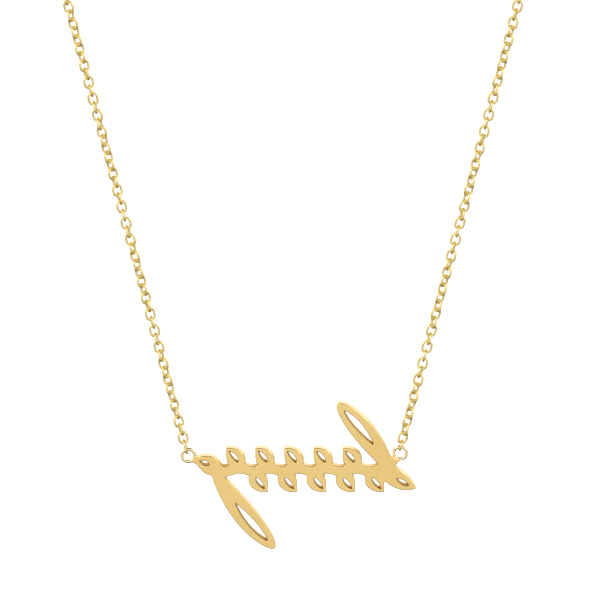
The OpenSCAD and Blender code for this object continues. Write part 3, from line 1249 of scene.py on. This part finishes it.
@dataclass
class ClaspSet:
    """The spring ring at the nape and the two jump rings beside it.

    The spring ring is a bent tube with a collar at each end. A thinner tongue closes the gap between them,
    and the tongue's lever stands in a slot beside it.
    """

    clasp_od: float = 5.5 * MM
    tube: float = 1.1 * MM
    tube_between: float = 1.03 * MM
    collar: float = 0.34 * MM
    collar_step: float = 0.03 * MM
    end_rounding: float = 0.09 * MM
    tongue: float = 0.62 * MM
    gap_from: float = math.radians(78)
    gap_to: float = math.radians(110)
    slot_from: float = math.radians(36)
    slot_to: float = math.radians(65)
    slot_width: float = 0.34 * MM
    slot_depth: float = 0.17 * MM
    slot_edge: float = 0.05 * MM
    tube_stations: int = 240
    tube_around: int = 56
    end_steps: int = 6
    tongue_points: int = 32
    eye_wire: float = 0.45 * MM
    eye_solder: tuple[float, float, float] = (0.17 * MM, 0.29 * MM, 0.4 * MM)
    eye_solder_out: float = 0.08 * MM
    jump_wire: float = 0.4 * MM
    jump_seam: float = math.radians(112)
    lever_at: float = math.radians(60)
    lever_reach: float = 3.15 * MM
    knob: tuple[float, float, float] = (0.3 * MM, 0.27 * MM, 0.19 * MM)
    post: tuple[float, float, float] = (0.15 * MM, 0.15 * MM, 0.36 * MM)
    post_drop: float = 0.45 * MM

    @property
    def bend(self) -> float:
        """Radius of the tube's middle line."""
        return (self.clasp_od - self.tube) / 2

    def add_bent_tube(self, shell: Shell, turns: np.ndarray, radii: np.ndarray, recess: np.ndarray) -> None:
        """Adds a closed tube that is bent round the middle of the clasp.

        Args:
            shell: The piece.
            turns: Angle of each section, from the X axis towards Z.
            radii: Radius at each point of each section.
            recess: Mask of painted shade at each point of each section.
        """
        around = radii.shape[1]
        angle = np.arange(around) * TURN / around
        outwards = np.stack([np.cos(turns), np.zeros_like(turns), np.sin(turns)], axis=1)
        section = (np.cos(angle)[None, :, None] * outwards[:, None]
                   + np.sin(angle)[None, :, None] * DEPTH)
        points = self.bend * outwards[:, None] + radii[..., None] * section
        ends = self.bend * outwards[[0, -1]]
        masks = {SEAM_AND_RECESS_SHADE: np.concatenate([recess.reshape(-1), [0, 0]])}
        shell.add(np.concatenate([points.reshape(-1, 3), ends]), capped_faces(len(turns), around), masks)

    def add_tube(self, shell: Shell) -> None:
        """Adds the spring ring's tube with its collars and the slot of its lever.

        Args:
            shell: The piece.
        """
        length = (self.gap_from + TURN - self.gap_to) * self.bend
        bow = np.linspace(0, math.pi / 2, self.end_steps)
        wide, narrow = self.tube / 2, self.tube_between / 2
        rounded = self.end_rounding * (1 - np.cos(bow))
        end_runs = np.concatenate([rounded, [self.collar, self.collar + self.collar_step]])
        end_radii = np.concatenate([wide - self.end_rounding * (1 - np.sin(bow)), [wide, narrow]])
        inner = self.collar + 2 * self.collar_step
        body = np.linspace(inner, length - inner, self.tube_stations)
        runs = np.concatenate([end_runs, body, length - end_runs[::-1]])
        radii = np.concatenate([end_radii, np.full(len(body), narrow), end_radii[::-1]])
        angle = np.arange(self.tube_around) * TURN / self.tube_around
        sideways = np.abs((angle + math.pi) % TURN - math.pi) * narrow
        turns = self.gap_to + runs / self.bend
        middle = (self.slot_from + self.slot_to) / 2 + TURN
        lengthways = np.abs(turns - middle) * self.bend
        half_length = (self.slot_to - self.slot_from) / 2 * self.bend
        within = self.slot_width / 2 - np.hypot(
            np.maximum(lengthways - half_length + self.slot_width / 2, 0)[:, None], sideways[None])
        slot = ramp(within, -self.slot_edge / 2, self.slot_edge / 2)
        from_step = np.minimum(runs, length - runs) - self.collar - self.collar_step
        groove = np.abs(from_step) < self.collar_step / 2
        # The slot and the groove at each collar's step take painted shade.
        self.add_bent_tube(shell, turns, radii[:, None] - self.slot_depth * slot,
                           np.maximum(slot, groove[:, None] * 1.0))

    def add_eye(self, shell: Shell) -> None:
        """Adds the eye that the jump ring hangs in, with its solder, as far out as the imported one.

        Args:
            shell: The piece.
        """
        low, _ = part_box("spring_ring_clasp")
        radius = (-low.x - self.clasp_od / 2 + self.eye_wire / 2) / 2
        add_ring(shell, -(self.clasp_od / 2 + radius) * ACROSS, ACROSS, UP, radius, self.eye_wire)
        add_bead(shell, -(self.clasp_od / 2 + self.eye_solder_out) * ACROSS, np.diag(self.eye_solder))

    def add_lever(self, shell: Shell) -> None:
        """Adds the tongue's lever: a knob on a post that stands in the slot.

        Args:
            shell: The piece.
        """
        outwards = np.array([math.cos(self.lever_at), 0, math.sin(self.lever_at)])
        directions = np.array([np.cross(outwards, DEPTH), DEPTH, -outwards])
        knob, post = (directions * np.array(sizes)[:, None] for sizes in (self.knob, self.post))
        add_bead(shell, outwards * (self.lever_reach - self.knob[2]), knob, rings=16, around=28)
        add_bead(shell, outwards * (self.lever_reach - self.post_drop), post, rings=16)

    def build_spring_ring(self, material: bpy.types.Material) -> bpy.types.Object:
        """Makes the spring ring with its tongue, its lever and its eye.

        Args:
            material: Its finish.

        Returns:
            The new piece.
        """
        shell = Shell("spring_ring")
        self.add_tube(shell)
        hidden = self.collar / self.bend
        turns = np.linspace(self.gap_from - hidden, self.gap_to + hidden, self.tongue_points)
        thin = np.full((self.tongue_points, self.tongue_points), self.tongue / 2)
        self.add_bent_tube(shell, turns, thin, np.zeros_like(thin))
        self.add_eye(shell)
        self.add_lever(shell)
        piece = shell.build()
        tidy_mesh(piece.data)
        finish_piece(piece, material, Body.CHAIN, ["spring_ring_clasp"])
        return piece

    def build_jump_ring(self, node: str, material: bpy.types.Material) -> bpy.types.Object:
        """Makes a jump ring, which lies flat at the nape.

        Args:
            node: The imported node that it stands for.
            material: Its finish.

        Returns:
            The new piece.
        """
        low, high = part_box(node)
        centre = np.array((low + high) / 2)
        radius = (high.x - low.x - self.jump_wire) / 2
        shell = Shell(f"{node}_wire")
        add_ring(shell, centre, ACROSS, DEPTH, radius, self.jump_wire, along=144, seam=self.jump_seam)
        piece = shell.build()
        finish_piece(piece, material, Body.CHAIN, [node])
        return piece


@dataclass(frozen=True)
class Softbox:
    """A square soft light that faces the necklace."""

    name: str
    place: tuple[float, float, float]
    size: float
    power: float

    def hang(self, target: np.ndarray) -> None:
        """Hangs the light.

        Args:
            target: The point that it faces.
        """
        data = bpy.data.lights.new(self.name, "AREA")
        data.shape = "SQUARE"
        data.size = self.size
        data.energy = self.power
        made = bpy.data.objects.new(self.name, data)
        bpy.context.scene.collection.objects.link(made)
        made.location = self.place
        made.rotation_euler = (Vector(target) - made.location).to_track_quat("-Z", "Y").to_euler()


@dataclass
class Studio:
    """Camera, lights, floor and surroundings.

    The light of the surroundings is given by height, apart for the front and the back, which pass into each
    other over a span of Y. It fades to the side_share across a span of X, and where it is dim it is warm.
    """

    loop: LoopSizes
    image_px: float = 600.0
    ring_middle_px: tuple[float, float] = (294.3, 454.1)
    ring_span_px: float = 211.8
    distance: float = 2.0
    elevation: float = math.radians(17.0)
    sensor: float = 36.0
    clip: tuple[float, float] = (0.05, 50.0)
    floor_below: float = 0.26
    floor_radius: float = 9.0
    floor_sides: int = 96
    floor_glow: float = 0.9
    front_light: tuple[tuple[float, float], ...] = (
        (0.0, 0.07), (0.16, 0.09), (0.25, 0.78), (0.34, 0.98), (0.5, 1.02), (0.62, 1.8), (0.74, 1.8),
        (0.85, 0.35), (0.95, 0.1))
    back_light: tuple[tuple[float, float], ...] = (
        (0.0, 0.07), (0.1, 0.2), (0.2, 0.55), (0.34, 0.92), (0.47, 1.15), (0.6, 1.2), (0.72, 1.2),
        (0.84, 0.35), (0.95, 0.1))
    front_to_back: tuple[float, float] = (-0.35, 0.35)
    side_fade: tuple[float, float] = (0.4, 1.0)
    side_share: float = 0.65
    warm_to_white: tuple[float, float] = (0.1, 0.7)
    shade_warmth: Colour = (1.0, 0.78, 0.42, 1)
    softboxes: tuple[Softbox, ...] = (
        Softbox("key_softbox", place=(-0.55, -0.75, 0.55), size=0.35, power=2.2),
        Softbox("rim_softbox", place=(0.65, 0.45, 0.4), size=0.3, power=1.2))

    def camera(self) -> bpy.types.Object:
        """Puts the camera where the photograph was taken from.

        Returns:
            The camera.
        """
        back = np.array([0, -math.cos(self.elevation), math.sin(self.elevation)])
        scale = self.loop.ring_span / self.ring_span_px
        centre_px = self.image_px / 2
        off_x = (centre_px - self.ring_middle_px[0]) * scale
        off_up = (self.ring_middle_px[1] - centre_px) * scale
        aim = self.loop.middle() + off_x * ACROSS + off_up * UP / math.cos(self.elevation)
        away = self.distance + (self.loop.middle() - aim) @ -back
        data = bpy.data.cameras.new("camera")
        data.sensor_width = self.sensor
        data.lens = self.sensor * away / (self.image_px * scale)
        data.clip_start, data.clip_end = self.clip
        made = bpy.data.objects.new("camera", data)
        bpy.context.scene.collection.objects.link(made)
        made.location = aim + back * self.distance
        made.rotation_mode = "QUATERNION"
        made.rotation_quaternion = Vector(-back).to_track_quat("-Z", "Y")
        bpy.context.scene.camera = made
        logger.info("camera: %.0f mm lens", data.lens)
        return made

    def floor(self) -> bpy.types.Object:
        """Lays the pale floor below the necklace. Seen from under it, it isn't there.

        Returns:
            The floor.
        """
        bpy.ops.mesh.primitive_circle_add(
            vertices=self.floor_sides, radius=self.floor_radius, fill_type="NGON",
            location=(0, 0, -self.floor_below))
        made = bpy.context.object
        made.name = "floor"
        made.visible_glossy = False
        paint = bpy.data.materials.new("floor_white")
        paint.use_nodes = True
        paint.node_tree.nodes.clear()
        w = Wiring(paint.node_tree)
        matt = w.node("ShaderNodeBsdfPrincipled", {
            "Base Color": (0.9, 0.9, 0.9, 1), "Roughness": 0.9, "Emission Color": (1, 1, 1, 1),
            "Emission Strength": self.floor_glow})
        clear = w.node("ShaderNodeBsdfTransparent")
        under = w.node("ShaderNodeNewGeometry").outputs["Backfacing"]
        both = w.node("ShaderNodeMixShader", {0: under, 1: matt.outputs[0], 2: clear.outputs[0]})
        w.node("ShaderNodeOutputMaterial", {"Surface": both.outputs[0]})
        made.data.materials.append(paint)
        return made

    @staticmethod
    def band(w: Wiring, height: bpy.types.NodeSocket,
             stops: tuple[tuple[float, float], ...]) -> bpy.types.NodeSocket:
        """Brightness of one side of the tent by height.

        Args:
            w: Wiring of the world's tree.
            height: Socket of the height, 0 straight down and 1 straight up.
            stops: Pairs of height and brightness.

        Returns:
            The brightness's socket.
        """
        shades = w.node("ShaderNodeValToRGB", {"Fac": height})
        shades.color_ramp.interpolation = "EASE"
        while len(shades.color_ramp.elements) < len(stops):
            shades.color_ramp.elements.new(0.5)
        for element, (place, value) in zip(shades.color_ramp.elements, stops):
            element.position = place
            element.color = (value, value, value, 1)
        return w.node("ShaderNodeSeparateColor", {0: shades.outputs[0]}).outputs[0]

    def surroundings(self) -> None:
        """Sets the soft light of a white tent: bright all round, dim overhead and underneath."""
        world = bpy.data.worlds.new("tent")
        bpy.context.scene.world = world
        world.use_nodes = True
        world.node_tree.nodes.clear()
        w = Wiring(world.node_tree)
        way = w.node("ShaderNodeTexCoord").outputs["Generated"]
        parts = w.node("ShaderNodeSeparateXYZ", {0: way}).outputs
        height = w.node("ShaderNodeMapRange", {"Value": parts["Z"], "From Min": -1.0, "From Max": 1.0})
        front = self.band(w, height.outputs[0], self.front_light)
        back = self.band(w, height.outputs[0], self.back_light)
        behind = w.span(parts["Y"], *self.front_to_back)
        rounded = w.math("MULTIPLY_ADD", behind, w.math("SUBTRACT", back, front), front)
        dim = w.span(w.math("ABSOLUTE", parts["X"]), *self.side_fade, 1.0, self.side_share)
        strength = w.math("MULTIPLY", rounded, dim)
        tint = w.mix(w.span(rounded, *self.warm_to_white), self.shade_warmth, (1, 1, 1, 1))
        tent = w.node("ShaderNodeBackground", {"Color": tint, "Strength": strength})
        plain = w.node("ShaderNodeBackground", {"Color": (1, 1, 1, 1), "Strength": 1.0})
        seen = w.node("ShaderNodeLightPath").outputs["Is Camera Ray"]
        both = w.node("ShaderNodeMixShader", {0: seen, 1: tent.outputs[0], 2: plain.outputs[0]})
        w.node("ShaderNodeOutputWorld", {"Surface": both.outputs[0]})

    def build(self) -> None:
        """Sets up the camera, the floor and the light."""
        self.camera()
        self.floor()
        self.surroundings()
        for softbox in self.softboxes:
            softbox.hang(self.loop.middle())
        bpy.context.scene.view_settings.view_transform = "Standard"


def main() -> None:
    """Builds the scene in order."""
    logging.basicConfig(level=logging.INFO, format="%(name)s: %(message)s")
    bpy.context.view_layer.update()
    loop = LoopSizes()
    Studio(loop).build()
    effects = Effects()
    Nameplate(loop).build(PLATE_SATIN.material(effects))
    chain_gold = CHAIN_POLISH.material(effects)
    CableStrand(Side.LEFT, loop).build(chain_gold)
    CableStrand(Side.RIGHT, loop, seat=math.radians(2.5), end_link_extra=-0.2 * MM,
                first_roll=math.radians(15), twist=math.radians(6.47), seed=11).build(chain_gold)
    clasp_gold = CLASP_POLISH.material(effects)
    clasp = ClaspSet()
    clasp.build_spring_ring(clasp_gold)
    for node in ("clasp_jump_ring", "end_jump_ring"):
        clasp.build_jump_ring(node, clasp_gold)


if __name__ == "__main__":
    main()
